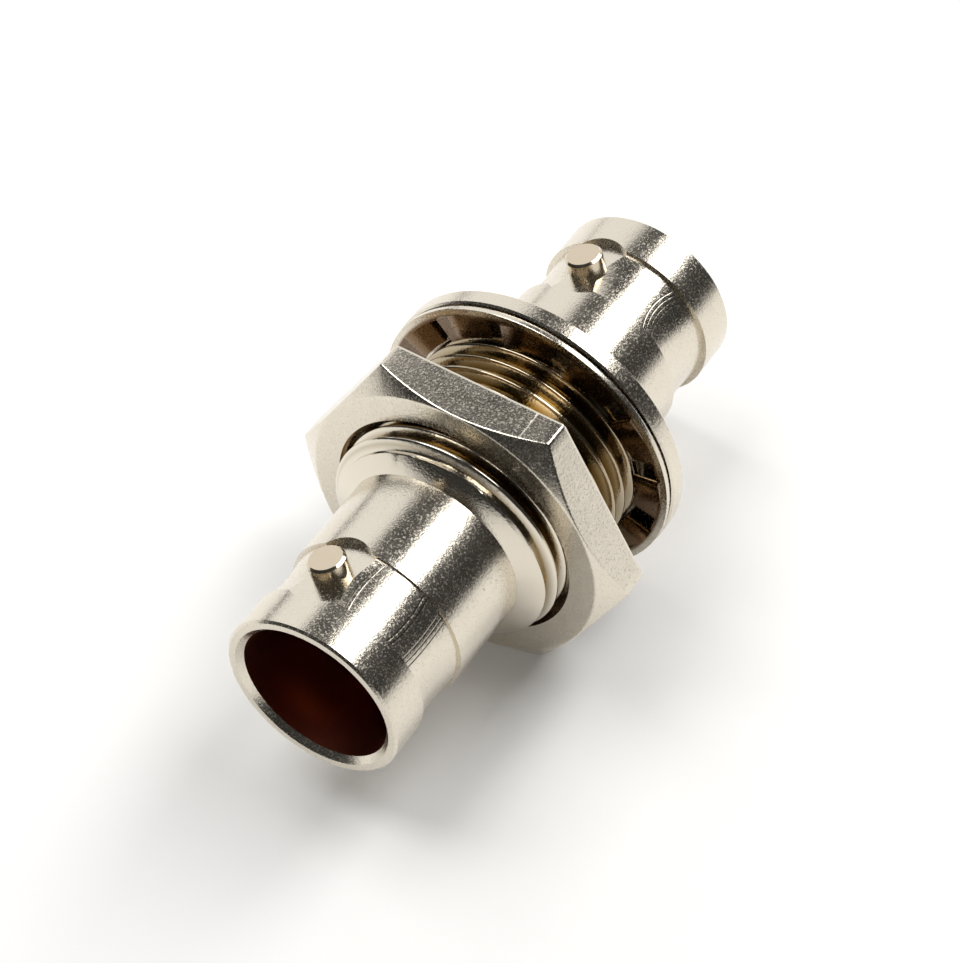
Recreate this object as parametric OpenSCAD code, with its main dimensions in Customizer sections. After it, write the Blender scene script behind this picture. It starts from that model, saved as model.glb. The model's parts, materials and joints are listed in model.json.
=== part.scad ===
// Bulkhead coaxial adapter with a bayonet jack at each end.
// The axis runs along X, from the front jack (-X) to the rear jack (+X).
// X = 0 is the flange face that seats on the panel, and +Z is up as the part lies on its nut.

/* [Jacks] */
// Length of each jack barrel, from its mouth to the shoulder or flange behind it
jack_len = 10.65; // [10.2:0.05:14]
// Outside diameter of the jack barrels
jack_od = 9.65; // [9.4:0.05:10]
// Wall between the outside of a barrel and its bore
jack_wall = 0.775; // [0.7:0.005:0.9]
// Depth of the jack bores, from the mouth to the reference plane
bore_depth = 8.4; // [7.8:0.1:9]
// Lead-in chamfer inside each mouth
bore_lead = 0.3; // [0.1:0.05:0.4]
// Chamfer on the outer edge of each mouth
mouth_chamfer = 0.12; // [0.05:0.01:0.2]

/* [Bayonet lugs] */
// Diameter of a lug
lug_dia = 1.95; // [1.8:0.05:2.1]
// Distance across the tops of the two lugs
lug_span = 11; // [10.6:0.05:11.4]
// Distance from the mouth to the middle of a lug
lug_set = 4; // [3.6:0.1:4.6]
// Angle of the upper lug from straight up, in degrees
lug_turn = 18; // [0:1:60]
// Chamfer round the top of a lug
lug_chamfer = 0.12; // [0.05:0.01:0.3]
// Diameter of the round spot face that is milled about a lug
spot_dia = 4.3; // [3.8:0.1:4.6]
// Depth of the spot face below the outside of the barrel
spot_cut = 0.45; // [0.3:0.05:0.55]

/* [Milled band] */
// Distance from the mouth to the near edge of the milled band
band_set = 2.3; // [1.5:0.1:2.8]
// Width of the milled band
band_len = 3.3; // [2.8:0.1:4]
// Depth of the front jack's band at its two edges
front_band_step = 0.17; // [0.05:0.01:0.3]
// Depth of the rear jack's band at its two edges
rear_band_step = 0.27; // [0.05:0.01:0.3]
// Further depth of the band half way along, where it is hollow
band_hollow = 0.12; // [0.04:0.01:0.2]

/* [Threaded shank] */
// Length of the shank, from its front shoulder to the flange
shank_len = 9; // [8.5:0.5:16]
// Outside diameter of the panel thread
thread_dia = 12.6; // [12.2:0.1:13.2]
// Pitch of the panel thread
thread_pitch = 0.907; // [0.75:0.001:1.2]
// Depth of the thread
thread_depth = 0.52; // [0.3:0.01:0.55]
// Diameter at the small end of the chamfer that starts the thread
thread_lead_dia = 11.3; // [10.8:0.1:11.8]
// Length of that chamfer along the axis
thread_lead_len = 0.4; // [0.2:0.05:0.8]
// Length of the cone between the barrel and the start of the thread
shoulder_len = 0.45; // [0.1:0.05:1]

/* [Flange] */
// Diameter of the flange
flange_dia = 16.6; // [15.6:0.1:18]
// Thickness of the flange
flange_thick = 1; // [0.7:0.1:2]
// Edge break on both rims of the flange
flange_edge = 0.1; // [0.02:0.01:0.2]

/* [Hex nut] */
// Distance across the flats of the nut
nut_flats = 16.4; // [15:0.1:18]
// Thickness of the nut
nut_thick = 2.4; // [1.6:0.1:3]
// Distance from the flange face to the rear of the nut, as stored
nut_set = 4.8; // [4.4:0.1:5]
// Angle of the front bevel from the face of the nut
nut_bevel = 35; // [20:1:45]
// Land left between the bevel circle and the flats
nut_land = 0.06; // [0.02:0.01:0.3]
// Countersink at both ends of the nut's hole
nut_sink = 0.35; // [0.1:0.05:0.6]
// Radial clearance between the nut and the shank
nut_clearance = 0.05; // [0.02:0.01:0.1]

/* [Lock washer] */
// How far the washer's rim stays inside the flange's rim
washer_inset = 0.05; // [0:0.05:0.4]
// Thickness of the sheet that the washer is stamped from
washer_thick = 0.3; // [0.2:0.05:0.5]
// Radial width of the washer's plain rim
washer_rim = 0.5; // [0.3:0.05:0.8]
// Number of inner teeth
tooth_count = 12; // [8:1:16]
// Angle of the slot between two teeth, in degrees
tooth_slot = 8; // [4:1:12]
// Twist of each tooth about its own middle line, in degrees
tooth_twist = 7; // [3:0.5:9]
// Radial clearance between the teeth and the shank
washer_clearance = 0.12; // [0.05:0.01:0.2]
// Clearance between the twisted teeth and the flange
washer_gap = 0.03; // [0.01:0.01:0.1]

/* [Insulators and ring] */
// Diameter of the channel that holds the insulators
channel_dia = 6.6; // [6:0.1:7.2]
// Diameter of the lip that stops the front insulator
lip_dia = 5.8; // [5:0.1:5.9]
// Length of that lip
lip_len = 0.8; // [0.5:0.1:1.2]
// Length of the front insulator
front_insulator_len = 6.7; // [6:0.1:7.4]
// Length of the pressed ring that holds the stack
ring_len = 1.5; // [1:0.1:1.8]
// Bore of the pressed ring
ring_bore = 5.2; // [4.4:0.1:5.6]
// Radial clearance round the insulators and contacts
stack_fit = 0.01; // [0.005:0.005:0.03]

/* [Contacts] */
// Outside diameter of the two socket contacts
contact_dia = 2.1; // [1.9:0.05:2.4]
// Distance from a mouth to the tip of its contact
contact_set = 3.4; // [3:0.1:4]
// Hole in each contact
socket_bore = 1.38; // [1.3:0.01:1.5]
// Depth of that hole
socket_depth = 4; // [3.6:0.1:4.2]
// Number of slots that make the contact springy
slot_count = 4; // [2:1:4]
// Width of a slot
slot_w = 0.2; // [0.1:0.02:0.24]
// Length of a slot
slot_len = 3.2; // [2:0.1:3.4]
// Chamfer on the tip of a contact
tip_chamfer = 0.15; // [0.05:0.05:0.25]
// Depth of each contact's shoulder inside its insulator
contact_grip = 3; // [2:0.1:4]
// Diameter of the stem that joins the two contacts
stem_dia = 1.2; // [0.9:0.1:1.4]
// Length of the stem pressed into the rear contact
stem_grip = 2; // [1:0.1:2.5]

/* [Hidden] */
$fn = 96;

cut = 0.5; // how far a cutting shape runs past the metal
join = 0.2; // how far one solid shape runs into the next
barrel_r = jack_od / 2;
bore_r = barrel_r - jack_wall;
thread_r = thread_dia / 2;
thread_start = -shank_len + shoulder_len + thread_lead_len;
thread_flank = thread_depth * tan(30);
thread_crest = thread_pitch / 8;
contact_r = contact_dia / 2;
front_mouth = -shank_len - jack_len;
rear_mouth = flange_thick + jack_len;
front_plane = front_mouth + bore_depth;
rear_plane = rear_mouth - bore_depth;
lip_end = front_plane + lip_len;
ring_start = rear_plane - ring_len;
stack_split = lip_end + front_insulator_len;
front_grip = lip_end + contact_grip;
rear_grip = ring_start - contact_grip;
spot_floor = barrel_r - spot_cut;
band_cuts = 8; // short cones that make up the hollow of the band
nut_corner = nut_flats / sqrt(3);
nut_hole = thread_r + nut_clearance;
tooth_tip = thread_r + washer_clearance;
washer_r = flange_dia / 2 - washer_inset;
tooth_root = washer_r - washer_rim;
tooth_half_angle = (360 / tooth_count - tooth_slot) / 2;
// half the height of the washer over its twisted teeth
washer_half = tooth_root * sin(tooth_half_angle) * sin(tooth_twist) + washer_thick / 2;
washer_mid = -washer_gap - washer_half;

brass = "#d9d0c0";
steel = "#cfc8bb";
gold = "#d8b25c";
ptfe = "#f2efe8";

// Turns a half section about the X axis. The section is drawn as [radius, place along X].
module turned() {
    rotate([0, 90, 0]) rotate_extrude() children();
}

// A plain round bar or hole from x1 to x2.
module round_bar(r, x1, x2) {
    turned() translate([0, x1]) square([r, x2 - x1]);
}

// A bar of radius r from x1 to x2, with a 45 degree bevel round its first end.
module bevelled_bar(r, x1, x2, bevel) {
    turned() polygon([[0, x1], [r - bevel, x1], [r, x1 + bevel], [r, x2], [0, x2]]);
}

// Puts a jack feature, drawn as if the mouth were at X = 0, on both jacks.
module both_jacks() {
    at_front() children();
    at_rear() children();
}

module at_front() {
    translate([front_mouth, 0, 0]) children();
}

module at_rear() {
    translate([rear_mouth, 0, 0]) mirror([1, 0, 0]) children();
}

// Puts a feature drawn along +Z at the two opposite lug places.
module both_lugs() {
    for (side = [0, 180])
        rotate([side - lug_turn, 0, 0]) translate([lug_set, 0, 0]) children();
}

// The turned outside of one jack, with its mouth at X = 0.
module jack_blank(band_step) {
    difference() {
        bevelled_bar(barrel_r, 0, jack_len + join, mouth_chamfer);
        milled_band(band_step);
        both_lugs() translate([0, 0, spot_floor]) cylinder(d = spot_dia, h = spot_cut + cut);
    }
}

// The shallow hollow band between the lugs, as a ring to cut away.
module milled_band(band_step) {
    edge_r = barrel_r - band_step;
    turned() polygon([
        [barrel_r + cut, band_set],
        for (t = [0 : 1 / band_cuts : 1])
            [edge_r - 4 * band_hollow * t * (1 - t), band_set + t * band_len],
        [barrel_r + cut, band_set + band_len]
    ]);
}

// One bayonet lug, from inside the barrel wall to its chamfered top.
module lug() {
    r = lug_dia / 2;
    root = (bore_r + spot_floor) / 2;
    top = lug_span / 2;
    rotate_extrude()
        polygon([[0, root], [r, root], [r, top - lug_chamfer], [r - lug_chamfer, top], [0, top]]);
}

// The bore of one jack with its lead-in, to cut away.
module jack_hole() {
    flare = bore_r + bore_lead + cut;
    turned() polygon([
        [0, -cut], [flare, -cut], [bore_r, bore_lead], [bore_r, bore_depth], [0, bore_depth]
    ]);
}

// The threaded shank and the flange. Each turn of the thread is a ring groove, and its slope along
// the helix is a finish.
module shank_and_flange() {
    start = -shank_len;
    r = flange_dia / 2;
    root_r = thread_r - thread_depth;
    turned() polygon([
        [0, start], [barrel_r, start], [thread_lead_dia / 2, start + shoulder_len],
        [thread_r, thread_start],
        for (x = [thread_start : thread_pitch : -2 * thread_pitch]) each [
            [thread_r, x + thread_crest], [root_r, x + thread_crest + thread_flank],
            [root_r, x + thread_pitch - thread_flank], [thread_r, x + thread_pitch]
        ],
        [thread_r, 0], [r - flange_edge, 0], [r, flange_edge],
        [r, flange_thick - flange_edge], [r - flange_edge, flange_thick], [0, flange_thick]
    ]);
}

// One turned piece: both jacks with their lugs, the shank and the flange.
module body() {
    color(brass) difference() {
        union() {
            at_front() jack_blank(front_band_step);
            at_rear() jack_blank(rear_band_step);
            both_jacks() both_lugs() lug();
            shank_and_flange();
        }
        both_jacks() jack_hole();
        round_bar(lip_dia / 2, front_plane - cut, lip_end + cut);
        round_bar(channel_dia / 2, lip_end, rear_plane + cut);
    }
}

// Hex nut with a bevelled front, lying with one flat straight down.
module hex_nut() {
    front = -nut_set - nut_thick;
    bevel_r = nut_flats / 2 - nut_land;
    reach = nut_corner + cut;
    rise = (reach - bevel_r) * tan(nut_bevel);
    flare = nut_sink + cut;
    color(brass) difference() {
        intersection() {
            translate([front, 0, 0]) rotate([0, 90, 0]) rotate([0, 0, 30])
                cylinder(r = nut_corner, h = nut_thick, $fn = 6);
            turned() polygon([[0, front], [bevel_r, front], [reach, front + rise],
                              [reach, rise + cut], [0, rise + cut]]);
        }
        turned() polygon([
            [0, front - cut], [nut_hole + flare, front - cut], [nut_hole, front + nut_sink],
            [nut_hole, -nut_set - nut_sink], [nut_hole + flare, -nut_set + cut], [0, -nut_set + cut]
        ]);
    }
}

// One washer tooth: a flat sector at the top of the ring, twisted about its middle line.
module washer_tooth() {
    side = tooth_root * 2;
    a = tooth_half_angle;
    rotate([0, 0, tooth_twist]) rotate([90, 0, 90])
        linear_extrude(washer_thick, center = true) intersection() {
            difference() {
                circle(r = tooth_root + washer_rim / 4);
                circle(r = tooth_tip);
            }
            polygon([[0, 0], [side * sin(a), side * cos(a)], [-side * sin(a), side * cos(a)]]);
        }
}

// Stamped ring with twisted inner teeth, just in front of the flange.
module lock_washer() {
    color(steel) translate([washer_mid, 0, 0]) {
        difference() {
            round_bar(washer_r, -washer_thick / 2, washer_thick / 2);
            round_bar(tooth_root, -washer_thick, washer_thick);
        }
        for (k = [0 : tooth_count - 1])
            rotate([k * 360 / tooth_count, 0, 0]) washer_tooth();
    }
}

// One socket contact along +X from its tip at X = 0, with a slotted hole for the plug's pin.
module socket(length) {
    difference() {
        bevelled_bar(contact_r, 0, length, tip_chamfer);
        round_bar(socket_bore / 2, -cut, socket_depth);
        for (k = [0 : slot_count - 1])
            rotate([k * 360 / slot_count, 0, 0])
                translate([-cut, -slot_w / 2, 0]) cube([slot_len + cut, slot_w, contact_r + cut]);
    }
}

// Front socket with the stem that runs back through both insulators.
module front_contact() {
    tip = front_mouth + contact_set;
    color(gold) {
        translate([tip, 0, 0]) socket(front_grip - tip);
        round_bar(stem_dia / 2, front_grip - join, rear_grip + stem_grip);
    }
}

// Rear socket, pressed on the end of the stem.
module rear_contact() {
    tip = rear_mouth - contact_set;
    color(gold) difference() {
        translate([tip, 0, 0]) mirror([1, 0, 0]) socket(tip - rear_grip);
        round_bar(stem_dia / 2, rear_grip - cut, rear_grip + stem_grip);
    }
}

// A drilled plug of the channel from x1 to x2. The contact's hole meets the stem's hole at step.
module insulator(x1, x2, contact_from, contact_to) {
    color(ptfe) difference() {
        round_bar(channel_dia / 2 - stack_fit, x1, x2);
        round_bar(stem_dia / 2 + stack_fit, x1 - cut, x2 + cut);
        round_bar(contact_r + stack_fit, contact_from, contact_to);
    }
}

module front_insulator() {
    insulator(lip_end, stack_split, lip_end - cut, front_grip);
}

module rear_insulator() {
    insulator(stack_split, ring_start, rear_grip, ring_start + cut);
}

// Ring pressed in behind the rear insulator, flush with the rear reference plane.
module retaining_ring() {
    color(brass) difference() {
        round_bar(channel_dia / 2, ring_start, rear_plane);
        round_bar(ring_bore / 2, ring_start - cut, rear_plane + cut);
    }
}

body();
hex_nut();
lock_washer();
front_contact();
rear_contact();
front_insulator();
rear_insulator();
retaining_ring();
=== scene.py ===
"""Looks of a bulkhead coaxial adapter: plated metal, screw thread, tool marks and a plain studio.

The frame gives the solids, their places and the record. This script cuts the thread, breaks the nut's
edges, gives every piece its finish, and sets up the light and the camera.
"""

import json
import logging
import math
from dataclasses import dataclass, field
from enum import Enum, IntEnum

import bmesh
import bpy
from mathutils import Matrix, Vector

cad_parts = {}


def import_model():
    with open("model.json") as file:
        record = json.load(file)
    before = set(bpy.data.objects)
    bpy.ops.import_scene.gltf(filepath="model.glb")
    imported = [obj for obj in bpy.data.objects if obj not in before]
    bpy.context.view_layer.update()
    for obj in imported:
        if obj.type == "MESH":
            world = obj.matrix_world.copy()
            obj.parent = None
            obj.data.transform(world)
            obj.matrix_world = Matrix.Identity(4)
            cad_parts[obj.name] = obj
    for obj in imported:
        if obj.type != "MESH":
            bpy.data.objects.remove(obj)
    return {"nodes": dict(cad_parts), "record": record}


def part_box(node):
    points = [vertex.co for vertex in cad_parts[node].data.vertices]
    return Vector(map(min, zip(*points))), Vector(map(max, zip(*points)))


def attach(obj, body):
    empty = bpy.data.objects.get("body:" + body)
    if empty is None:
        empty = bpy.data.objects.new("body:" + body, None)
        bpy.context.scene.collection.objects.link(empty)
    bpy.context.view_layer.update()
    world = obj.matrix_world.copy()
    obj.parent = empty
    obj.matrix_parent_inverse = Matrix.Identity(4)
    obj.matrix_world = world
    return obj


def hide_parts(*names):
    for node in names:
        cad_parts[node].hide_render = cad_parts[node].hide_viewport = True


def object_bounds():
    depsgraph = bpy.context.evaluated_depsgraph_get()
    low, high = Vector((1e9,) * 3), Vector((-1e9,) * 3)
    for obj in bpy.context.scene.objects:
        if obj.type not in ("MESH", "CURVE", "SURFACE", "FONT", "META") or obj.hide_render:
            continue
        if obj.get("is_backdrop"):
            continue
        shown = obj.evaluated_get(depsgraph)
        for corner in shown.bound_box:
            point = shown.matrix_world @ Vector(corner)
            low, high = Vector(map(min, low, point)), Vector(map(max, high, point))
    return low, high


MM = 0.001
# how far a point may lie past a size and still count as on it
SLACK = 0.002 * MM
# points of a skin that are closer than this are one
WELD = 0.0005 * MM
log = logging.getLogger("adapter")


class Body(Enum):
    """The frame's bodies that carry a piece made here."""

    SHELL = "shell"
    NUT = "nut"


class Node(Enum):
    """The solids of the frame."""

    SHELL = "body"
    NUT = "hex_nut"
    WASHER = "lock_washer"
    FRONT_CONTACT = "front_contact"
    REAR_CONTACT = "rear_contact"
    FRONT_INSULATOR = "front_insulator"
    REAR_INSULATOR = "rear_insulator"
    RING = "retaining_ring"


class Mount(Enum):
    """The record's mounts that give the shell's sizes and places."""

    BARREL = "front_jack_barrel"
    BORE = "front_jack_bore"
    FRONT_LUGS = "front_lugs"
    REAR_LUGS = "rear_lugs"
    SHANK = "panel_shank"


class Jack(IntEnum):
    """The two jacks, in the order of their lugs' places."""

    FRONT = 0
    REAR = 1


class Skin(IntEnum):
    """The finishes on the shell, in the order of its material slots."""

    PLATE = 0
    BORE = 1
    LUG = 2


def linear(code: str) -> tuple[float, float, float, float]:
    """Turns an sRGB hex colour into a linear one.

    Args:
        code: six hex digits.

    Returns:
        Red, green, blue and an alpha of 1.
    """
    parts = [int(code[i : i + 2], 16) / 255 for i in (0, 2, 4)]
    r, g, b = (c / 12.92 if c <= 0.04045 else ((c + 0.055) / 1.055) ** 2.4 for c in parts)
    return (r, g, b, 1.0)


def add_node(tree: bpy.types.NodeTree, kind: str, links: dict[str | int, bpy.types.NodeSocket] | None = None,
             **settings: object) -> bpy.types.Node:
    """Adds a shader node.

    Args:
        tree: the material's node tree.
        kind: the node's type name, without its ShaderNode prefix.
        links: input name or number, and the output socket that feeds it.
        **settings: attributes of the node, or values of its inputs. An input goes by its name, with
            spaces as underscores, or by its number after one underscore.

    Returns:
        The new node.
    """
    node = tree.nodes.new("ShaderNode" + kind)
    for name, value in settings.items():
        if hasattr(node, name):
            setattr(node, name, value)
    for name, value in settings.items():
        if not hasattr(node, name):
            key = int(name[1:]) if name[1:].isdigit() else name.replace("_", " ")
            node.inputs[key].default_value = value
    for name, socket in (links or {}).items():
        tree.links.new(socket, node.inputs[name])
    return node


def new_material(name: str) -> tuple[bpy.types.Material, bpy.types.NodeTree, bpy.types.Node]:
    """Starts a material.

    Args:
        name: what the material is.

    Returns:
        The material, its node tree and its Principled shader, linked to the output.
    """
    material = bpy.data.materials.new(name)
    material.use_nodes = True
    tree = material.node_tree
    tree.nodes.clear()
    shader = add_node(tree, "BsdfPrincipled")
    add_node(tree, "OutputMaterial", {"Surface": shader.outputs[0]})
    return material, tree, shader


def dress(obj: bpy.types.Object, material: bpy.types.Material) -> None:
    """Gives an object one material in place of all that it has."""
    obj.data.materials.clear()
    obj.data.materials.append(material)


def make_piece(name: str, points: list[Vector], faces: list[tuple[int, ...]],
               sharp_deg: float) -> bpy.types.Object:
    """Makes an object from a closed skin.

    Args:
        name: the object's name.
        points: its points.
        faces: its faces, as numbers of points.
        sharp_deg: edges that bend more than this stay sharp.

    Returns:
        The object, in the scene.
    """
    skin = bmesh.new()
    made = [skin.verts.new(p) for p in points]
    for f in faces:
        skin.faces.new([made[i] for i in f])
    bmesh.ops.remove_doubles(skin, verts=made, dist=WELD)
    bmesh.ops.recalc_face_normals(skin, faces=skin.faces)
    mesh = bpy.data.meshes.new(name)
    skin.to_mesh(mesh)
    skin.free()
    mesh.polygons.foreach_set("use_smooth", [True] * len(mesh.polygons))
    mesh.set_sharp_from_angle(angle=math.radians(sharp_deg))
    piece = bpy.data.objects.new(name, mesh)
    bpy.context.collection.objects.link(piece)
    return piece


@dataclass(frozen=True)
class Place:
    """Where a shaded point is on the object, as sockets of a node tree.

    Attributes:
        point: the place as a vector.
        x: the place along the axis.
        y: the place across the axis, to the side.
        z: the place across the axis, upwards.
        radius: the distance from the axis.
    """

    point: bpy.types.NodeSocket
    x: bpy.types.NodeSocket
    y: bpy.types.NodeSocket
    z: bpy.types.NodeSocket
    radius: bpy.types.NodeSocket

    @staticmethod
    def of(tree: bpy.types.NodeTree) -> "Place":
        """Adds the nodes that give a point's place.

        Args:
            tree: the material's node tree.

        Returns:
            The place.
        """
        point = add_node(tree, "TexCoord").outputs["Object"]
        split = add_node(tree, "SeparateXYZ", {"Vector": point})
        flat = add_node(tree, "CombineXYZ", {"Y": split.outputs["Y"], "Z": split.outputs["Z"]})
        radius = add_node(tree, "VectorMath", {0: flat.outputs[0]}, operation="LENGTH")
        return Place(point, *split.outputs, radius.outputs["Value"])


@dataclass(frozen=True)
class NickelPlate:
    """Nickel plate over turned brass, dull from the bath."""

    # To the eye: a warm, pale grey mirror, slightly blurred. Matte pits break the edge of every
    # highlight into sparks, clouds dull it here and there, and the cutter's rings run round the axis.
    name: str = "nickel_plate_turned"
    tint: str = "DDD5C6"
    roughness: float = 0.19
    # clouds in the plate: their size, the levels of their noise between which the plate dulls, and the
    # roughness outside and inside them, as shares
    cloud_mm: float = 1.6
    cloud_levels: tuple[float, float] = (0.3, 0.7)
    cloud_shares: tuple[float, float] = (0.85, 1.18)
    # grain of the plate; drawn coarser than the real 0.02 mm, which would not show
    grain_mm: float = 0.115
    grain_depth_mm: float = 0.008
    # levels of the grain between which bright plate turns into a matte pit
    pit_levels: tuple[float, float] = (0.52, 0.68)
    pit_roughness: float = 0.37
    # one ring for each turn of the bar, at a fine feed, and how far a ring is drawn out round the axis
    feed_mm: float = 0.09
    feed_depth_mm: float = 0.0004
    feed_stretch: float = 25.0

    def make(self) -> bpy.types.Material:
        """Builds the material.

        Returns:
            The material.
        """
        material, tree, shader = new_material(self.name)
        shader.inputs["Metallic"].default_value = 1.0
        place = Place.of(tree)
        self.colour(tree, place, shader.inputs["Base Color"])
        grain = add_node(tree, "TexNoise", {"Vector": place.point}, Scale=1 / (self.grain_mm * MM),
                         Detail=2.0, Roughness=0.6)
        cloud = add_node(tree, "TexNoise", {"Vector": place.point}, Scale=1 / (self.cloud_mm * MM),
                         Detail=3.0)
        clear, dull = (self.roughness * share for share in self.cloud_shares)
        plate = add_node(tree, "MapRange", {"Value": cloud.outputs["Fac"]}, From_Min=self.cloud_levels[0],
                         From_Max=self.cloud_levels[1], To_Min=clear, To_Max=dull)
        pits = add_node(tree, "MapRange", {"Value": grain.outputs["Fac"], "To Min": plate.outputs[0]},
                        From_Min=self.pit_levels[0], From_Max=self.pit_levels[1], To_Max=self.pit_roughness)
        tree.links.new(pits.outputs[0], shader.inputs["Roughness"])
        bump = add_node(tree, "Bump", {"Height": grain.outputs["Fac"], "Normal": self.relief(tree, place)},
                        Distance=self.grain_depth_mm * MM)
        tree.links.new(bump.outputs[0], shader.inputs["Normal"])
        return material

    def colour(self, tree: bpy.types.NodeTree, place: Place, socket: bpy.types.NodeSocket) -> None:
        """Sets the plate's colour on the shader's socket."""
        socket.default_value = linear(self.tint)

    def relief(self, tree: bpy.types.NodeTree, place: Place) -> bpy.types.NodeSocket:
        """Adds what lies under the grain: the rings of the cutter.

        Args:
            tree: the material's node tree.
            place: where the shaded point is.

        Returns:
            The normal there.
        """
        along = add_node(tree, "Mapping", {"Vector": place.point})
        along.inputs["Scale"].default_value = (1.0, 1 / self.feed_stretch, 1 / self.feed_stretch)
        feed = add_node(tree, "TexNoise", {"Vector": along.outputs[0]}, Scale=1 / (self.feed_mm * MM),
                        Detail=1.0)
        rings = add_node(tree, "Bump", {"Height": feed.outputs["Fac"]}, Distance=self.feed_depth_mm * MM)
        return rings.outputs[0]


@dataclass(frozen=True)
class ToolMark:
    """One fine score along the band of a jack.

    Attributes:
        jack: the jack that it is on.
        turn_deg: its place round the axis, from straight up towards the side of -Y.
        from_mm: where it starts, along the axis from the middle of the jack's lugs.
        to_mm: where it ends, from there.
        bow_deg: how far its ends bend aside.
        half_deg: half its width.
        share: its depth, as a share of the deepest.
        fade_at: where it starts to fade, as the square of a share of its half length.
    """

    jack: Jack
    turn_deg: float
    from_mm: float
    to_mm: float
    bow_deg: float
    half_deg: float = 0.6
    share: float = 1.0
    fade_at: float = 0.9

    def height(self, tree: bpy.types.NodeTree, x: bpy.types.NodeSocket, turn: bpy.types.NodeSocket,
               lugs_mm: tuple[float, float]) -> bpy.types.NodeSocket:
        """Adds the nodes that draw the mark.

        Args:
            tree: the material's node tree.
            x: the shaded point's place along the axis.
            turn: its angle round the axis, in radians.
            lugs_mm: places of both jacks' lugs along the axis.

        Returns:
            The mark's share of the depth in its middle line, and 0 outside it.
        """
        middle = lugs_mm[self.jack] + (self.from_mm + self.to_mm) / 2
        half = (self.to_mm - self.from_mm) / 2
        along = add_node(tree, "MapRange", {"Value": x}, clamp=False, From_Min=middle * MM,
                         From_Max=(middle + half) * MM)
        square = add_node(tree, "Math", {0: along.outputs[0], 1: along.outputs[0]}, operation="MULTIPLY")
        line = add_node(tree, "Math", {0: square.outputs[0]}, operation="MULTIPLY_ADD",
                        _1=math.radians(self.bow_deg), _2=math.radians(self.turn_deg))
        aside = add_node(tree, "Math", {0: turn, 1: line.outputs[0]}, operation="SUBTRACT")
        away = add_node(tree, "Math", {0: aside.outputs[0]}, operation="ABSOLUTE")
        groove = add_node(tree, "MapRange", {"Value": away.outputs[0]}, From_Max=math.radians(self.half_deg),
                          To_Min=self.share, To_Max=0.0)
        within = add_node(tree, "MapRange", {"Value": square.outputs[0]}, From_Min=self.fade_at,
                          From_Max=1.0, To_Min=1.0, To_Max=0.0)
        mark = add_node(tree, "Math", {0: groove.outputs[0], 1: within.outputs[0]}, operation="MULTIPLY")
        return mark.outputs[0]


def front_mark(turn_deg: float, bow_deg: float, half_deg: float = 0.6) -> ToolMark:
    """Gives a score on the front jack's band."""
    return ToolMark(Jack.FRONT, turn_deg, -1.65, 1.55, bow_deg, half_deg)


def rear_mark(turn_deg: float) -> ToolMark:
    """Gives a score on the rear jack's band; they are fainter there."""
    return ToolMark(Jack.REAR, turn_deg, -1.45, 1.55, bow_deg=4.0, share=0.75)


@dataclass(frozen=True, kw_only=True)
class MarkedPlate(NickelPlate):
    """Nickel plate on the jacks, with the scores that the coupling left on their bands.

    Attributes:
        lugs_mm: places of the front and the rear lugs along the axis.
        mark_depth_mm: depth of the deepest score.
        score_painted_shade: painted shade in a score, a darker colour that stands in for the dark room that
            the score mirrors.
        marks: the scores on both jacks.
    """

    # To the eye: the plate's sparkle, crossed by groups of fine lines. Each score is painted darker, as
    # painted shade for the dark room that it mirrors, so it stays dark where the plate round it shines.
    lugs_mm: tuple[float, float]
    mark_depth_mm: float = 0.009
    # painted shade: the colour of the scores, standing in for the dark room that they mirror
    score_painted_shade: str = "5E584C"
    marks: tuple[ToolMark, ...] = (
        front_mark(3, 2.5, 0.9),
        front_mark(6, 2.5),
        front_mark(39, -2.5, 0.9),
        front_mark(42, -2.5, 0.9),
        front_mark(53, -2.0),
        front_mark(56, -2.0),
        front_mark(59, -2.0),
        rear_mark(33),
        rear_mark(36),
        rear_mark(39),
        rear_mark(42),
    )

    def scores(self, tree: bpy.types.NodeTree, place: Place) -> bpy.types.NodeSocket:
        """Adds all the scores.

        Args:
            tree: the material's node tree.
            place: where the shaded point is.

        Returns:
            How deep a score is there, from 0 to 1.
        """
        side = add_node(tree, "Math", {0: place.y}, operation="MULTIPLY", _1=-1.0)
        turn = add_node(tree, "Math", {0: side.outputs[0], 1: place.z}, operation="ARCTAN2").outputs[0]
        heights = [mark.height(tree, place.x, turn, self.lugs_mm) for mark in self.marks]
        total = heights[0]
        for height in heights[1:]:
            total = add_node(tree, "Math", {0: total, 1: height}, operation="ADD").outputs[0]
        return total

    def colour(self, tree: bpy.types.NodeTree, place: Place, socket: bpy.types.NodeSocket) -> None:
        """Feeds the shader's colour socket: plate, and painted shade in the scores.

        Args:
            tree: the material's node tree.
            place: where the shaded point is.
            socket: the shader's colour socket.
        """
        # painted shade: the scores are coloured darker than the plate round them
        tint = add_node(tree, "Mix", {"Factor": self.scores(tree, place)}, data_type="RGBA",
                        _6=linear(self.tint), _7=linear(self.score_painted_shade))
        tree.links.new(tint.outputs[2], socket)

    def relief(self, tree: bpy.types.NodeTree, place: Place) -> bpy.types.NodeSocket:
        """Adds what lies under the grain: rings and scores.

        Args:
            tree: the material's node tree.
            place: where the shaded point is.

        Returns:
            The normal there.
        """
        rings = super().relief(tree, place)
        bump = add_node(tree, "Bump", {"Height": self.scores(tree, place), "Normal": rings}, invert=True,
                        Distance=self.mark_depth_mm * MM)
        return bump.outputs[0]


@dataclass(frozen=True)
class PinPlate(NickelPlate):
    """Nickel plate on the pressed-in lugs, rubbed by the coupling."""

    # To the eye: smoother and brighter than the barrel, and warmer, as the pin's copper shows through.
    name: str = "nickel_plate_rubbed_pin"
    tint: str = "D3C5AF"
    roughness: float = 0.14
    pit_roughness: float = 0.22
    grain_depth_mm: float = 0.004


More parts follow.
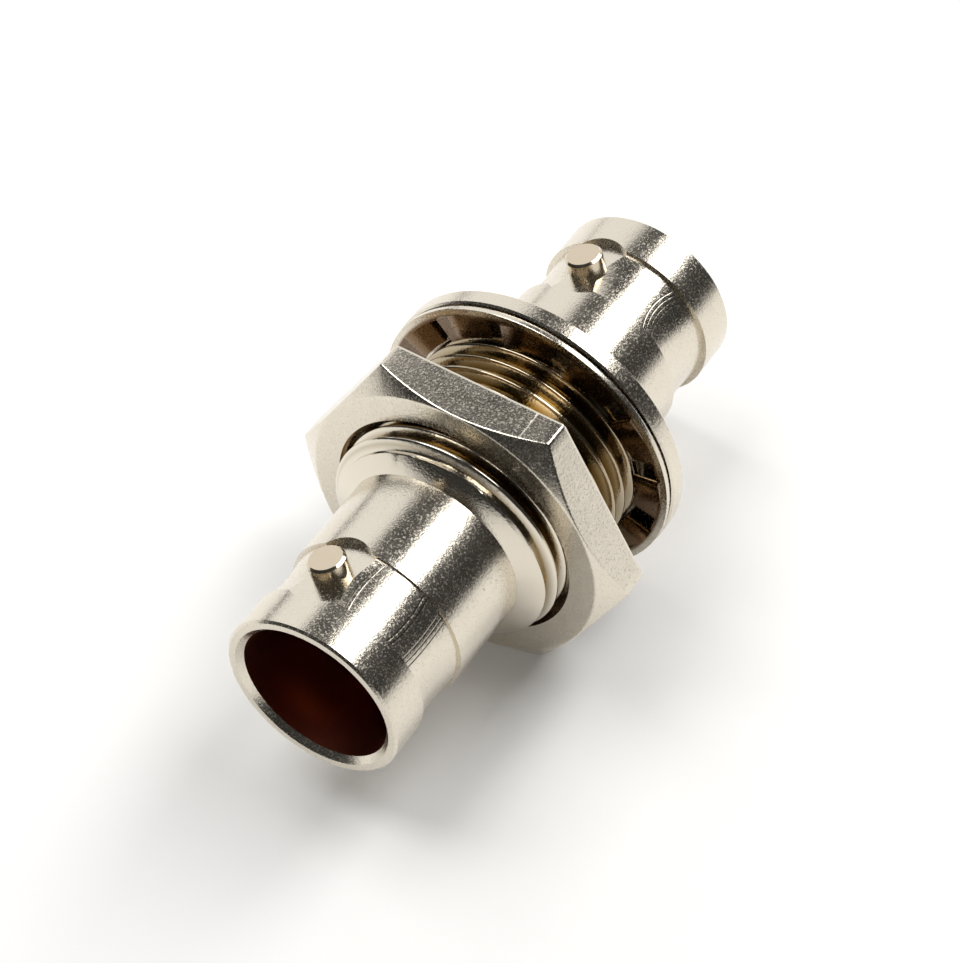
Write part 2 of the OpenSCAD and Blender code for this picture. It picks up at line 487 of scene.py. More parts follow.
@dataclass(frozen=True, kw_only=True)
class ThreadPlate(NickelPlate):
    """Thin nickel plate on a cut thread, with painted shade in its roots and behind the nut.

    Attributes:
        crest_r_mm: radius of the crests.
        front_mm: where the thread has its full depth first, along the axis.
        nut_mm: the rear face of the nut; behind it the crests take the root colour too, for thinner plate and
            as painted shade in the gap.
    """

    # To the eye: shiny, pale on the crests, and yellower and darker towards the roots: brass showing through,
    # and painted shade.
    name: str = "nickel_plate_thin_and_shaded_on_thread"
    # painted shade: the root colour is darker than the brass alone, for the shade in the grooves and in the
    # gap behind the nut
    root_brass_and_shade: str = "857046"
    roughness: float = 0.1
    pit_roughness: float = 0.2
    grain_depth_mm: float = 0.006
    crest_r_mm: float
    front_mm: float
    nut_mm: float
    # below the crests, the depths between which the plate thins out and the painted shade of the roots sets
    # in
    full_mm: float = 0.1
    bare_mm: float = 0.5
    # along the axis, how far in front of the nut's rear face the crests start to thin out and take painted
    # shade, how far to either side of the thread's front the change to plain nickel reaches, and what plate
    # crests keep behind the nut
    nut_blend_mm: float = 0.8
    front_blend_mm: float = 0.15
    crest_share_behind_nut: float = 0.4

    def colour(self, tree: bpy.types.NodeTree, place: Place, socket: bpy.types.NodeSocket) -> None:
        """Feeds the shader's colour socket: nickel on crests and front cone, brass and painted shade in the
        roots.

        Args:
            tree: the material's node tree.
            place: where the shaded point is.
            socket: the shader's colour socket.
        """
        high = add_node(tree, "MapRange", {"Value": place.radius},
                        From_Min=(self.crest_r_mm - self.bare_mm) * MM,
                        From_Max=(self.crest_r_mm - self.full_mm) * MM)
        thinned_and_shaded = add_node(tree, "MapRange", {"Value": place.x}, From_Min=(self.nut_mm - self.nut_blend_mm) * MM,
                        From_Max=self.nut_mm * MM, To_Min=1.0, To_Max=self.crest_share_behind_nut)
        crest = add_node(tree, "Math", {0: high.outputs[0], 1: thinned_and_shaded.outputs[0]}, operation="MULTIPLY")
        front = add_node(tree, "MapRange", {"Value": place.x},
                         From_Min=(self.front_mm + self.front_blend_mm) * MM,
                         From_Max=(self.front_mm - self.front_blend_mm) * MM)
        plated = add_node(tree, "Math", {0: crest.outputs[0], 1: front.outputs[0]}, operation="MAXIMUM")
        # painted shade: the roots, and behind the nut the crests, take the darker root colour
        tint = add_node(tree, "Mix", {"Factor": plated.outputs[0]}, data_type="RGBA",
                        _6=linear(self.root_brass_and_shade), _7=linear(self.tint))
        tree.links.new(tint.outputs[2], socket)


@dataclass(frozen=True)
class StainedAndShadedPlate(NickelPlate):
    """Thin, stained nickel plate on the nut's hole and rear face, where the bath hardly reached; darker still
    as painted shade.
    """

    # To the eye: brownish and darker than the outside, partly painted shade for the hole and the gap, with
    # the same soft grain.
    name: str = "nickel_plate_thin_stained_and_shaded"
    # painted shade: darker than the stain alone, for the shaded hole and the gap behind the nut
    tint: str = "8C7452"
    pit_roughness: float = 0.3
    grain_depth_mm: float = 0.006


@dataclass(frozen=True, kw_only=True)
class SpringPlate(NickelPlate):
    """Nickel plate on stamped spring strip.

    Attributes:
        rim_r_mm: radius inside which the face is painted brown, as painted shade.
        middle_mm: the middle of the strip, along the axis.
    """

    # To the eye: a bright line along the rim, where the punch rolled the edges over, and a brown face that is
    # painted shade.
    name: str = "nickel_plate_on_spring_strip"
    # painted shade: the brown of the face stands in for the shade of the gap between the nut and the flange
    gap_painted_shade: str = "7A6248"
    grain_depth_mm: float = 0.006
    rim_r_mm: float
    middle_mm: float
    shade_blend_mm: float = 0.15
    # half the strip's thickness, how far its edges are rolled over and how late the roll sets in
    half_mm: float = 0.15
    roll_mm: float = 0.03
    roll_power: float = 4.0

    def colour(self, tree: bpy.types.NodeTree, place: Place, socket: bpy.types.NodeSocket) -> None:
        """Feeds the shader's colour socket: plain at the rim, painted shade inside it.

        Args:
            tree: the material's node tree.
            place: where the shaded point is.
            socket: the shader's colour socket.
        """
        inner = add_node(tree, "MapRange", {"Value": place.radius},
                         From_Min=(self.rim_r_mm + self.shade_blend_mm) * MM, From_Max=self.rim_r_mm * MM)
        tint = add_node(tree, "Mix", {"Factor": inner.outputs[0]}, data_type="RGBA",
                        _6=linear(self.tint), _7=linear(self.gap_painted_shade))
        tree.links.new(tint.outputs[2], socket)

    def relief(self, tree: bpy.types.NodeTree, place: Place) -> bpy.types.NodeSocket:
        """Adds what lies under the grain: edges that the punch rolled over.

        Args:
            tree: the material's node tree.
            place: where the shaded point is.

        Returns:
            The normal there.
        """
        share = add_node(tree, "MapRange", {"Value": place.x}, clamp=False, From_Min=self.middle_mm * MM,
                         From_Max=(self.middle_mm + self.half_mm) * MM)
        size = add_node(tree, "Math", {0: share.outputs[0]}, operation="ABSOLUTE")
        steep = add_node(tree, "Math", {0: size.outputs[0]}, operation="POWER", _1=self.roll_power)
        roll = add_node(tree, "Bump", {"Height": steep.outputs[0]}, invert=True, Distance=self.roll_mm * MM)
        return roll.outputs[0]


@dataclass(frozen=True, kw_only=True)
class MilledPlate(NickelPlate):
    """Nickel plate on the milled nut.

    Attributes:
        top_mm: height of the top flat.
    """

    # To the eye: the barrel's plate without its rings, with a fine scribed line across the top flat.
    name: str = "nickel_plate_milled"
    top_mm: float
    # what lies less than this below the top flat counts as on it
    top_slack_mm: float = 0.1
    scribe_y_mm: float = -3.3
    scribe_half_mm: float = 0.05
    scribe_depth_mm: float = 0.01

    def relief(self, tree: bpy.types.NodeTree, place: Place) -> bpy.types.NodeSocket:
        """Adds what lies under the grain: a scribed line.

        Args:
            tree: the material's node tree.
            place: where the shaded point is.

        Returns:
            The normal there.
        """
        aside = add_node(tree, "Math", {0: place.y}, operation="SUBTRACT", _1=self.scribe_y_mm * MM)
        away = add_node(tree, "Math", {0: aside.outputs[0]}, operation="ABSOLUTE")
        line = add_node(tree, "MapRange", {"Value": away.outputs[0]}, From_Max=self.scribe_half_mm * MM,
                        To_Min=1.0, To_Max=0.0)
        top = add_node(tree, "Math", {0: place.z}, operation="GREATER_THAN",
                       _1=(self.top_mm - self.top_slack_mm) * MM)
        scribed = add_node(tree, "Math", {0: line.outputs[0], 1: top.outputs[0]}, operation="MULTIPLY")
        bump = add_node(tree, "Bump", {"Height": scribed.outputs[0]}, invert=True,
                        Distance=self.scribe_depth_mm * MM)
        return bump.outputs[0]


@dataclass(frozen=True)
class BareMetal:
    """A metal of one colour, with the fine grain of a turned face.

    Attributes:
        name: the metal and how its face was made.
        tint: its colour, as sRGB hex digits.
        roughness: how blurred it mirrors.
        grain_mm: size of the grain.
        grain_depth_mm: depth of the grain.
    """

    name: str
    tint: str
    roughness: float
    grain_mm: float
    grain_depth_mm: float

    def make(self) -> bpy.types.Material:
        """Builds the material.

        Returns:
            The material.
        """
        material, tree, shader = new_material(self.name)
        shader.inputs["Base Color"].default_value = linear(self.tint)
        shader.inputs["Metallic"].default_value = 1.0
        shader.inputs["Roughness"].default_value = self.roughness
        place = add_node(tree, "TexCoord").outputs["Object"]
        grain = add_node(tree, "TexNoise", {"Vector": place}, Scale=1 / (self.grain_mm * MM))
        bump = add_node(tree, "Bump", {"Height": grain.outputs["Fac"]},
                        Distance=self.grain_depth_mm * MM)
        tree.links.new(bump.outputs[0], shader.inputs["Normal"])
        return material


@dataclass(frozen=True)
class TarnishedBrass(BareMetal):
    """Turned brass inside a bore, where little plate got in and the air tarnished it."""

    # To the eye: reddish brown and blurred, so a bore goes dark towards its bottom. The grain is drawn
    # coarser than a turned face has it.
    name: str = "brass_tarnished_bore"
    tint: str = "A65C46"
    roughness: float = 0.36
    grain_mm: float = 0.1
    grain_depth_mm: float = 0.004


@dataclass(frozen=True)
class TurnedBrass(TarnishedBrass):
    """Bare turned brass of the retaining ring."""

    # To the eye: plain yellow brass, as blurred as the bore.
    name: str = "brass_turned_ring"
    tint: str = "B08D57"


@dataclass(frozen=True)
class GoldPlate(BareMetal):
    """Gold plate over a machined contact."""

    # To the eye: deep yellow and shiny, with only a trace of the machined face's grain under it.
    name: str = "gold_plate_smooth"
    tint: str = "E9C06A"
    roughness: float = 0.18
    grain_mm: float = 0.06
    grain_depth_mm: float = 0.0006


@dataclass(frozen=True)
class TurnedPtfe:
    """Machined PTFE."""

    # To the eye: waxy and nearly white, since light goes a little way in, with fine rings from the cutter.
    name: str = "ptfe_machined"
    tint: str = "E9E6DD"
    roughness: float = 0.45
    ior: float = 1.35
    scatter_share: float = 0.15
    scatter_mm: tuple[float, float, float] = (0.6, 0.6, 0.55)
    ring_mm: float = 0.12
    ring_depth_mm: float = 0.002

    def make(self) -> bpy.types.Material:
        """Builds the material.

        Returns:
            The material.
        """
        material, tree, shader = new_material(self.name)
        shader.inputs["Base Color"].default_value = linear(self.tint)
        shader.inputs["Roughness"].default_value = self.roughness
        shader.inputs["IOR"].default_value = self.ior
        shader.inputs["Subsurface Weight"].default_value = self.scatter_share
        shader.inputs["Subsurface Radius"].default_value = tuple(depth * MM for depth in self.scatter_mm)
        shader.inputs["Subsurface Scale"].default_value = 1.0
        wave = add_node(tree, "Math", {0: Place.of(tree).radius}, operation="MULTIPLY",
                        _1=2 * math.pi / (self.ring_mm * MM))
        rings = add_node(tree, "Math", {0: wave.outputs[0]}, operation="SINE")
        bump = add_node(tree, "Bump", {"Height": rings.outputs[0]}, Distance=self.ring_depth_mm * MM)
        tree.links.new(bump.outputs[0], shader.inputs["Normal"])
        return material


@dataclass
class Thread:
    """The screw thread on the shank, as a skin from the shoulder to the flange.

    Attributes:
        crest_r: radius of the crests.
        start_x: where the thread starts along the axis.
        end_x: where it ends, at the flange.
        lead_len: length of the chamfer that starts it.
        shoulder_x: where the cone in front of the thread meets the barrel.
        shoulder_r: radius of the barrel there.
        pitch: distance from crest to crest, 28 to the inch.
        runout: length over which it fades before the flange.
        crest_share: width of a flat crest, as a share of the pitch.
        root_share: width of a root, as a share of the pitch.
        depth_share: depth of a 60 degree thread, as a share of its pitch.
        soft_share: how far the groove's corners are rounded, from 0 to 1.
        columns: steps round the axis.
        per_pitch: steps along the axis for each pitch.
    """

    crest_r: float
    start_x: float
    end_x: float
    lead_len: float
    shoulder_x: float
    shoulder_r: float
    pitch: float = 25.4 / 28 * MM
    runout: float = 0.35 * MM
    crest_share: float = 0.14
    root_share: float = 0.2
    depth_share: float = 0.6134
    soft_share: float = 0.25
    columns: int = 160
    per_pitch: int = 22

    @property
    def depth(self) -> float:
        """Depth of the thread."""
        return self.depth_share * self.pitch

    def groove(self, phase: float) -> float:
        """Gives how deep the thread is at a phase of its pitch.

        Args:
            phase: place along one pitch, from 0 to 1, from the front of a crest.

        Returns:
            The depth there, from 0 to 1.
        """
        flank = (1 - self.crest_share - self.root_share) / 2
        if phase < self.crest_share:
            depth = 0.0
        elif phase < self.crest_share + flank:
            depth = (phase - self.crest_share) / flank
        elif phase < 1 - flank:
            depth = 1.0
        else:
            depth = (1 - phase) / flank
        smooth = depth * depth * (3 - 2 * depth)
        return smooth * self.soft_share + depth * (1 - self.soft_share)

    def radius(self, x: float, turn: float) -> float:
        """Gives the thread's radius.

        Args:
            x: place along the axis.
            turn: angle about the axis, as a share of a turn.

        Returns:
            The radius there, in metres.
        """
        fade = min(1.0, max(0.0, (self.end_x - x) / self.runout))
        cut = self.crest_r - self.depth * self.groove((x / self.pitch - turn) % 1.0) * fade
        lead = self.crest_r - self.depth * max(0.0, 1 - (x - self.start_x) / self.lead_len)
        return min(cut, lead)

    def build(self) -> tuple[list[Vector], list[tuple[int, ...]]]:
        """Makes the skin.

        Returns:
            Its points and its faces.
        """
        step = self.pitch / self.per_pitch
        turns = math.ceil((self.end_x - self.start_x) / self.pitch) + 1
        rows = (turns + 1) * self.per_pitch + 1
        points: list[Vector] = []
        for column in range(self.columns + 1):
            share = column / self.columns
            angle = 2 * math.pi * share
            first = self.start_x + (share - 1) * self.pitch
            points.append(self.place(self.shoulder_x, self.shoulder_r, angle))
            for row in range(rows):
                x = min(max(first + row * step, self.start_x), self.end_x)
                points.append(self.place(x, self.radius(x, share), angle))
        faces = []
        width = rows + 1
        for column in range(self.columns):
            for row in range(rows):
                a = column * width + row
                faces.append((a, a + 1, a + width + 1, a + width))
        return points, faces

    @staticmethod
    def place(x: float, r: float, angle: float) -> Vector:
        """Gives a point at radius r about the X axis."""
        return Vector((x, r * math.cos(angle), r * math.sin(angle)))


@dataclass
class Shell:
    """The turned shell: both jacks and the flange as in the frame, with the thread cut in the shank.

    Attributes:
        barrel_r: outside radius of the jacks.
        bore_r: radius of their bores.
        lugs_x: places of the front and the rear lugs along the axis.
        crest_r: outside radius of the thread.
        full_x: where the thread has its full depth first.
        shank_end: where the shank meets the flange.
        nut_rear_x: the rear face of the nut.
        lead_len: length of the chamfer that starts the thread.
        shoulder_len: length of the cone between the barrel and the thread.
        lug_r: radius of a lug.
        lug_turn_deg: angle of the upper lug from straight up.
    """

    barrel_r: float
    bore_r: float
    lugs_x: tuple[float, float]
    crest_r: float
    full_x: float
    shank_end: float
    nut_rear_x: float
    lead_len: float = 0.4 * MM
    shoulder_len: float = 0.45 * MM
    lug_r: float = 0.975 * MM
    lug_turn_deg: float = 18.0

    @classmethod
    def fitted(cls, mounts: dict[str, dict]) -> "Shell":
        """Takes the shell's sizes and places from the record and the frame.

        Args:
            mounts: the record's mounts by name.

        Returns:
            The shell, not built yet.
        """
        shank = mounts[Mount.SHANK.value]
        end = shank["pos_m"][0]
        return cls(
            barrel_r=mounts[Mount.BARREL.value]["dims"]["r_mm"] * MM,
            bore_r=mounts[Mount.BORE.value]["dims"]["r_mm"] * MM,
            lugs_x=tuple(mounts[m.value]["pos_m"][0] for m in (Mount.FRONT_LUGS, Mount.REAR_LUGS)),
            crest_r=shank["dims"]["r_mm"] * MM,
            full_x=end - shank["dims"]["length_mm"] * MM,
            shank_end=end,
            nut_rear_x=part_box(Node.NUT.value)[1].x,
        )

    @property
    def thread_start(self) -> float:
        """Where the thread's chamfer starts."""
        return self.full_x - self.lead_len

    @property
    def shank_start(self) -> float:
        """Where the shank's cone leaves the barrel."""
        return self.thread_start - self.shoulder_len

    def build(self, node: bpy.types.Object) -> None:
        """Builds the shell and its thread.

        Args:
            node: the frame's plain shell.
        """
        shell = self.make_jacks(node.data)
        thread = self.make_thread()
        for piece in (shell, thread):
            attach(piece, Body.SHELL.value)
        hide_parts(Node.SHELL.value)

    def make_jacks(self, solid: bpy.types.Mesh) -> bpy.types.Object:
        """Copies the solid's skin without the outside of the shank, and keeps its true normals.

        Args:
            solid: the frame's mesh of the shell.

        Returns:
            The new object.
        """
        kept = [p for p in solid.polygons if not self.on_shank(solid, p)]
        faces = [tuple(p.vertices) for p in kept]
        normals = [tuple(solid.corner_normals[i].vector) for p in kept for i in p.loop_indices]
        mesh = bpy.data.meshes.new("turned_shell")
        mesh.from_pydata([tuple(v.co) for v in solid.vertices], [], faces)
        mesh.polygons.foreach_set("use_smooth", [True] * len(faces))
        mesh.normals_split_custom_set(normals)
        shell = bpy.data.objects.new("turned_shell", mesh)
        bpy.context.collection.objects.link(shell)
        finishes = {
            Skin.PLATE: MarkedPlate(lugs_mm=tuple(x / MM for x in self.lugs_x)),
            Skin.BORE: TarnishedBrass(),
            Skin.LUG: PinPlate(),
        }
        for skin in Skin:
            mesh.materials.append(finishes[skin].make())
        for polygon in mesh.polygons:
            polygon.material_index = self.skin_of(mesh, polygon)
        return shell

    def make_thread(self) -> bpy.types.Object:
        """Makes the skin of the threaded shank.

        Returns:
            The new object.
        """
        thread = Thread(crest_r=self.crest_r, start_x=self.thread_start, end_x=self.shank_end,
                        lead_len=self.lead_len, shoulder_x=self.shank_start, shoulder_r=self.barrel_r)
        points, faces = thread.build()
        piece = make_piece("shank_thread", points, faces, sharp_deg=40)
        plate = ThreadPlate(crest_r_mm=self.crest_r / MM, front_mm=self.full_x / MM,
                            nut_mm=self.nut_rear_x / MM)
        dress(piece, plate.make())
        return piece

    def on_shank(self, mesh: bpy.types.Mesh, face: bpy.types.MeshPolygon) -> bool:
        """Says whether a face is on the outside of the shank.

        Args:
            mesh: the solid's mesh.
            face: one of its faces.

        Returns:
            True if the thread's skin takes the face's place.
        """
        for i in face.vertices:
            x, y, z = mesh.vertices[i].co
            if not self.barrel_r - SLACK < math.hypot(y, z) < self.crest_r + SLACK:
                return False
            if not self.shank_start - SLACK < x < self.shank_end + SLACK:
                return False
        return self.shank_start + SLACK < face.center.x < self.shank_end - SLACK

    def skin_of(self, mesh: bpy.types.Mesh, face: bpy.types.MeshPolygon) -> Skin:
        """Says which finish a face gets.

        Args:
            mesh: the shell's mesh.
            face: one of its faces.

        Returns:
            The finish.
        """
        points = [mesh.vertices[i].co for i in face.vertices]
        if all(math.hypot(p.y, p.z) < self.bore_r + SLACK for p in points):
            return Skin.BORE
        if all(self.on_lug(p) for p in points):
            return Skin.LUG
        return Skin.PLATE

    def on_lug(self, point: Vector) -> bool:
        """Says whether a point is on a lug.

        Args:
            point: a point of the shell's skin.

        Returns:
            True if it is within a lug's radius, outside the bores.
        """
        turn = math.radians(self.lug_turn_deg)
        out = abs(point.z * math.cos(turn) + point.y * math.sin(turn))
        side = point.y * math.cos(turn) - point.z * math.sin(turn)
        near = min(math.hypot(point.x - x, side) for x in self.lugs_x)
        return near < self.lug_r + 5 * SLACK and out >= self.bore_r


@dataclass
class Nut:
    """The hexagon nut, as in the frame, with its edges broken.

    Attributes:
        front_x: its bevelled front face, along the axis.
        rear_x: its rear face.
        flats: its width across flats.
        bevel_deg: slope of the front bevel.
        land: how far the bevel reaches inside the flats.
        hole_r: radius of its hole.
        sink: chamfer at both ends of the hole.
        edge: how far the bevel's edges are rounded.
        edge_share: the most of the bevel's length that one rounding takes.
        burr: chamfer round the rear edge, along the axis.
        burr_deg: slope of that chamfer.
        corner: radius of the six corners.
        per_flat: steps along a flat.
        per_corner: steps round a corner.
    """

    front_x: float
    rear_x: float
    flats: float
    bevel_deg: float = 35.0
    land: float = 0.06 * MM
    hole_r: float = 6.35 * MM
    sink: float = 0.35 * MM
    edge: float = 0.09 * MM
    edge_share: float = 0.45
    burr: float = 0.13 * MM
    burr_deg: float = 17.0
    corner: float = 0.24 * MM
    per_flat: int = 18
    per_corner: int = 5

    @classmethod
    def fitted(cls) -> "Nut":
        """Takes the nut's place and width from its solid, and gives the nut, not built yet."""
        low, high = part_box(Node.NUT.value)
        return cls(front_x=low.x, rear_x=high.x, flats=high.z - low.z)

    def build(self) -> None:
        """Builds the nut in place of the plain one."""
        nut = make_piece("milled_nut", *self.skin(), sharp_deg=14)
        dress(nut, MilledPlate(top_mm=self.flats / 2 / MM).make())
        nut.data.materials.append(StainedAndShadedPlate().make())
        for polygon in nut.data.polygons:
            polygon.material_index = int(self.is_stained_and_shaded(nut.data, polygon))
        even = nut.modifiers.new("even_flats", "WEIGHTED_NORMAL")
        even.keep_sharp = True
        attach(nut, Body.NUT.value)
        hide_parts(Node.NUT.value)

    def skin(self) -> tuple[list[Vector], list[tuple[int, ...]]]:
        """Lays a cut of the nut at each point of its rim, and joins the cuts.

        Returns:
            The skin's points and faces.
        """
        rim = self.outline()
        cuts = [self.section(p.length) for p in rim]
        width = len(cuts[0])
        points = []
        for out, cut in zip(rim, cuts):
            way = out.normalized()
            points += [Vector((x, way.x * r, way.y * r)) for x, r in cut]
        faces = []
        for i in range(len(rim)):
            j = (i + 1) % len(rim)
            for k in range(width):
                m = (k + 1) % width
                faces.append((i * width + k, i * width + m, j * width + m, j * width + k))
        return points, faces

    def is_stained_and_shaded(self, mesh: bpy.types.Mesh, face: bpy.types.MeshPolygon) -> bool:
        """Says whether a face gets the stained plate, with its painted shade.

        Args:
            mesh: the nut's mesh.
            face: one of its faces.

        Returns:
            True if the face is in the hole, on its chamfers or at the rear.
        """
        ring = [mesh.vertices[i].co for i in face.vertices]
        in_hole = all(math.hypot(p.y, p.z) < self.hole_r + self.sink + 5 * SLACK for p in ring)
        at_rear = all(p.x > self.rear_x - 5 * SLACK for p in ring)
        return in_hole or at_rear

    def outline(self) -> list[Vector]:
        """Draws the hexagon across the axis, one flat straight down, with round corners.

        Returns:
            Its points.
        """
        half = self.flats / 2
        tilt = math.radians(30)
        straight = half * math.tan(tilt) - self.corner * math.tan(tilt)
        centre = (half - self.corner) / math.cos(tilt)
        points = []
        for k in range(6):
            out = Vector((0, 1)) @ Matrix.Rotation(2 * tilt * k, 2)
            side = Vector((out.y, -out.x))
            for i in range(self.per_flat + 1):
                points.append(out * half + side * straight * (2 * i / self.per_flat - 1))
            middle = (out * math.cos(tilt) + side * math.sin(tilt)) * centre
            for i in range(1, self.per_corner):
                turn = 2 * tilt * i / self.per_corner
                points.append(middle + (out * math.cos(turn) + side * math.sin(turn)) * self.corner)
        return points

    def section(self, reach: float) -> list[tuple[float, float]]:
        """Cuts the nut from its hole out to one point of its rim.

        Args:
            reach: the rim's distance from the axis there.

        Returns:
            The closed cut, as places along the axis and distances from it.
        """
        slope = math.radians(self.bevel_deg)
        land_r = self.flats / 2 - self.land
        bevel_x = self.front_x + (reach - land_r) * math.tan(slope)
        soft = min(self.edge, self.edge_share * (reach - land_r) / math.cos(slope))
        along = (math.sin(slope) * soft, math.cos(slope) * soft)
        cut = [(self.rear_x - self.sink, self.hole_r), (self.rear_x, self.hole_r + self.sink)]
        cut += [(self.rear_x, reach - self.burr * math.tan(math.radians(self.burr_deg))),
                (self.rear_x - self.burr, reach)]
        cut += self.soften((bevel_x + self.edge, reach), (bevel_x, reach),
                           (bevel_x - along[0], reach - along[1]))
        cut += self.soften((self.front_x + along[0], land_r + along[1]), (self.front_x, land_r),
                           (self.front_x, land_r - soft))
        cut += [(self.front_x, self.hole_r + self.sink), (self.front_x + self.sink, self.hole_r)]
        return cut

    @staticmethod
    def soften(start: tuple[float, float], knee: tuple[float, float], end: tuple[float, float],
               steps: int = 6) -> list[tuple[float, float]]:
        """Rounds a knee between two points.

        Args:
            start: the first point.
            knee: the sharp corner.
            end: the last point.
            steps: steps of the curve.

        Returns:
            The curve's points.
        """
        points = []
        for i in range(steps + 1):
            t = i / steps
            a, b, c = (1 - t) ** 2, 2 * t * (1 - t), t * t
            points.append((a * start[0] + b * knee[0] + c * end[0], a * start[1] + b * knee[1] + c * end[1]))
        return points


@dataclass
class Washer:
    """The stamped lock washer.

    Attributes:
        rim_width: width of the rim that the teeth stand in.
    """

    rim_width: float = 0.4 * MM

    def build(self, node: bpy.types.Object) -> None:
        """Dresses the washer of the frame.

        Args:
            node: the frame's washer.
        """
        low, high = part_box(Node.WASHER.value)
        # the washer is round, so its lowest point lies its radius below the axis
        plate = SpringPlate(rim_r_mm=(-low.z - self.rim_width) / MM, middle_mm=(low.x + high.x) / 2 / MM)
        dress(node, plate.make())


@dataclass
class Inside:
    """Contacts, insulators and the ring that holds them.

    Attributes:
        contacts: finish of both contacts.
        insulators: finish of both insulators.
        ring: finish of the retaining ring.
    """

    contacts: GoldPlate = field(default_factory=GoldPlate)
    insulators: TurnedPtfe = field(default_factory=TurnedPtfe)
    ring: TurnedBrass = field(default_factory=TurnedBrass)

    def build(self, nodes: dict[str, bpy.types.Object]) -> None:
        """Dresses the solids inside the shell.

        Args:
            nodes: the frame's solids by name.
        """
        gold = self.contacts.make()
        ptfe = self.insulators.make()
        for node in (Node.FRONT_CONTACT, Node.REAR_CONTACT):
            dress(nodes[node.value], gold)
        for node in (Node.FRONT_INSULATOR, Node.REAR_INSULATOR):
            dress(nodes[node.value], ptfe)
        dress(nodes[Node.RING.value], self.ring.make())


@dataclass(frozen=True)
class MattCard:
    """White card under the object.

    Attributes:
        glow: light that it adds for the camera, for mirrors and through clear things, where 1 is white.
    """

    # To the eye: matt and white without any gloss, so that only the shadow shows on it.
    name: str = "white_card_matt"
    tint: str = "F7F6F4"
    roughness: float = 0.9
    gloss: float = 0.1
    glow: float = 0.08

    def make(self) -> bpy.types.Material:
        """Builds the material.

        Returns:
            The material.
        """
        material, tree, shader = new_material(self.name)
        shader.inputs["Base Color"].default_value = linear(self.tint)
        shader.inputs["Roughness"].default_value = self.roughness
        shader.inputs["Specular IOR Level"].default_value = self.gloss
        shader.inputs["Emission Color"].default_value = linear("FFFFFF")
        path = add_node(tree, "LightPath").outputs
        seen = add_node(tree, "Math", {0: path["Is Camera Ray"], 1: path["Is Glossy Ray"]}, operation="ADD")
        shown = add_node(tree, "Math", {0: seen.outputs[0], 1: path["Is Transmission Ray"]},
                         operation="MAXIMUM")
        glow = add_node(tree, "Math", {0: shown.outputs[0]}, operation="MULTIPLY", _1=self.glow)
        tree.links.new(glow.outputs[0], shader.inputs["Emission Strength"])
        return material


@dataclass(frozen=True)
class SoftBox:
    """A rectangular lamp that faces the object, its long side along the object's axis.

    Attributes:
        name: the lamp's name.
        towards: its direction from the object.
        away_mm: its distance.
        length_mm: its long side.
        height_mm: its other side.
        level: how bright its face is, where 1 shows as white.
    """

    name: str
    towards: tuple[float, float, float]
    away_mm: float
    length_mm: float
    height_mm: float
    level: float

    def hang(self) -> None:
        """Hangs the lamp."""
        data = bpy.data.lights.new(self.name, "AREA")
        data.shape = "RECTANGLE"
        data.size = self.length_mm * MM
        data.size_y = self.height_mm * MM
        data.energy = self.level * math.pi * data.size * data.size_y
        lamp = bpy.data.objects.new(self.name, data)
        bpy.context.collection.objects.link(lamp)
        way = Vector(self.towards).normalized()
        along = (Vector((1, 0, 0)) - way * way.x).normalized()
        turn = Matrix((along, way.cross(along), way)).transposed().to_4x4()
        lamp.matrix_world = Matrix.Translation(way * self.away_mm * MM) @ turn


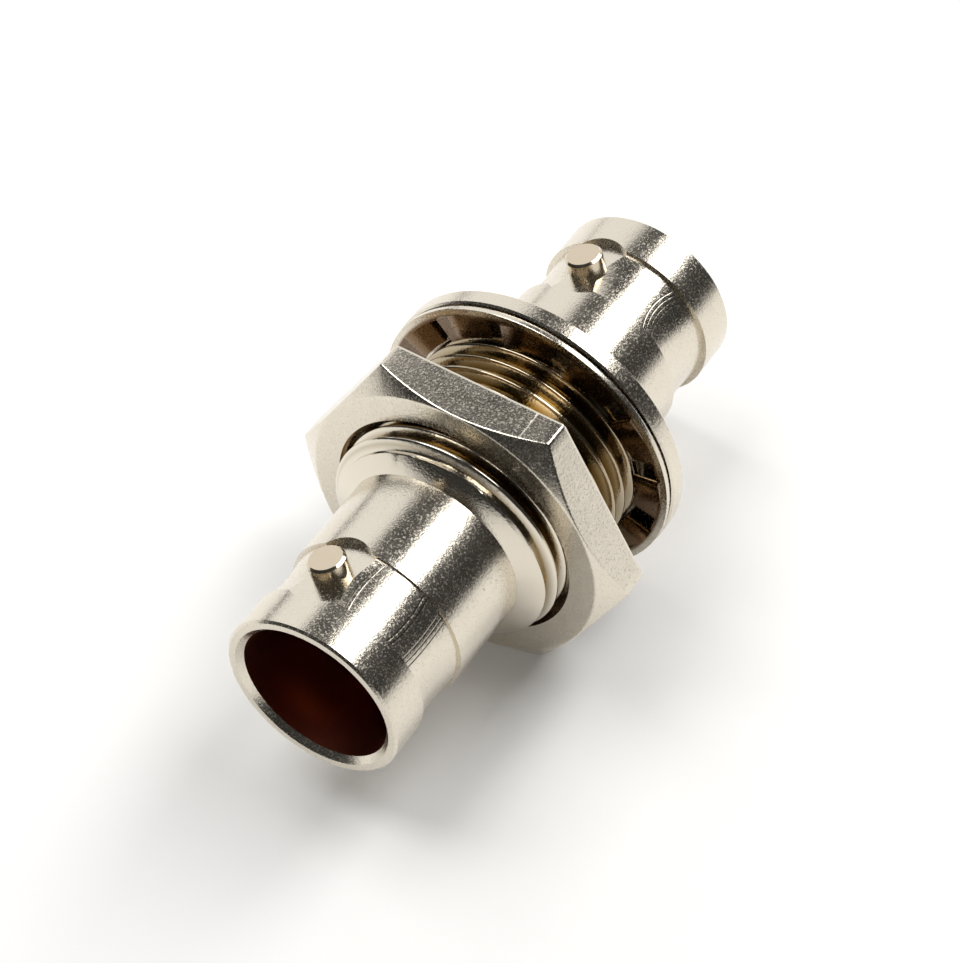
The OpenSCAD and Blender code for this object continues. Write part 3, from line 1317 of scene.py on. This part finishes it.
@dataclass
class Studio:
    """Pale floor, soft lamps and the camera.

    Attributes:
        floor_z: height of the floor.
        floor_half: half the floor's width.
        card: finish of the floor.
        sky: how bright the room round the lamps is.
        sky_tint: its colour.
        lamps: a long strip overhead, a broad screen behind and a fill from the other side.
        lens: focal length of the camera, in millimetres.
        sensor: width of its sensor, in millimetres.
        camera_mm: the camera's place.
        looks_at_mm: the place that it looks at.
        roll_deg: how far it is turned about its line of sight.
    """

    floor_z: float
    floor_half: float = 900 * MM
    card: MattCard = field(default_factory=MattCard)
    sky: float = 0.04
    sky_tint: str = "FFFEFC"
    lamps: tuple[SoftBox, ...] = (
        SoftBox("strip", (0.547, -0.275, 0.790), away_mm=420, length_mm=520, height_mm=170, level=5.1),
        SoftBox("screen", (0.72, 0.62, 0.385), away_mm=450, length_mm=900, height_mm=382, level=1.0),
        SoftBox("fill", (-0.10, 0.42, 0.90), away_mm=420, length_mm=260, height_mm=260, level=4.6),
    )
    lens: float = 130.93
    sensor: float = 36.0
    camera_mm: tuple[float, float, float] = (-99.18, -58.40, 133.16)
    looks_at_mm: tuple[float, float, float] = (-4.01, 0.44, -0.10)
    roll_deg: float = 0.66

    def build(self) -> None:
        """Builds everything that isn't part of the object."""
        bpy.context.scene.view_settings.view_transform = "Standard"
        self.make_floor()
        for lamp in self.lamps:
            lamp.hang()
        self.make_world()
        self.make_camera()

    def make_camera(self) -> None:
        """Places the camera and makes it the scene's."""
        data = bpy.data.cameras.new("camera")
        data.lens = self.lens
        data.sensor_width = self.sensor
        data.clip_start = 10 * MM
        camera = bpy.data.objects.new("camera", data)
        bpy.context.collection.objects.link(camera)
        eye = Vector(self.camera_mm) * MM
        gaze = Vector(self.looks_at_mm) * MM - eye
        roll = Matrix.Rotation(math.radians(self.roll_deg), 3, "Z")
        turn = gaze.to_track_quat("-Z", "Y").to_matrix() @ roll
        camera.matrix_world = Matrix.Translation(eye) @ turn.to_4x4()
        bpy.context.scene.camera = camera

    def make_floor(self) -> None:
        """Lays a pale sheet that keeps the shadow."""
        mesh = bpy.data.meshes.new("floor")
        half = self.floor_half
        rim = [(-half, -half), (half, -half), (half, half), (-half, half)]
        mesh.from_pydata([(x, y, self.floor_z) for x, y in rim], [], [(0, 1, 2, 3)])
        floor = bpy.data.objects.new("floor", mesh)
        bpy.context.collection.objects.link(floor)
        dress(floor, self.card.make())
        floor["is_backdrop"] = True

    def make_world(self) -> None:
        """Gives the room round the lamps a dim grey."""
        world = bpy.data.worlds.new("sky")
        bpy.context.scene.world = world
        world.use_nodes = True
        world.node_tree.nodes.clear()
        sky = add_node(world.node_tree, "Background", Color=linear(self.sky_tint), Strength=self.sky)
        add_node(world.node_tree, "OutputWorld", {"Surface": sky.outputs[0]})


def main() -> None:
    """Dresses the frame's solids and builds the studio."""
    logging.basicConfig(level=logging.INFO, format="%(name)s: %(message)s")
    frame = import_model()
    nodes = frame["nodes"]
    mounts = {mount["name"]: mount for mount in frame["record"]["mounts"]}
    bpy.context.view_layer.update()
    shell = Shell.fitted(mounts)
    shell.build(nodes[Node.SHELL.value])
    log.info("shell: two jacks, and a thread from %.2f to %.2f mm", shell.thread_start / MM,
             shell.shank_end / MM)
    nut = Nut.fitted()
    nut.build()
    log.info("nut: %.1f mm across flats", nut.flats / MM)
    Washer().build(nodes[Node.WASHER.value])
    log.info("washer: dressed")
    Inside().build(nodes)
    log.info("inside: two contacts, two insulators and a ring dressed")
    Studio(floor_z=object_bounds()[0].z).build()
    log.info("studio: floor, lamps and camera in place")


if __name__ == "__main__":
    main()
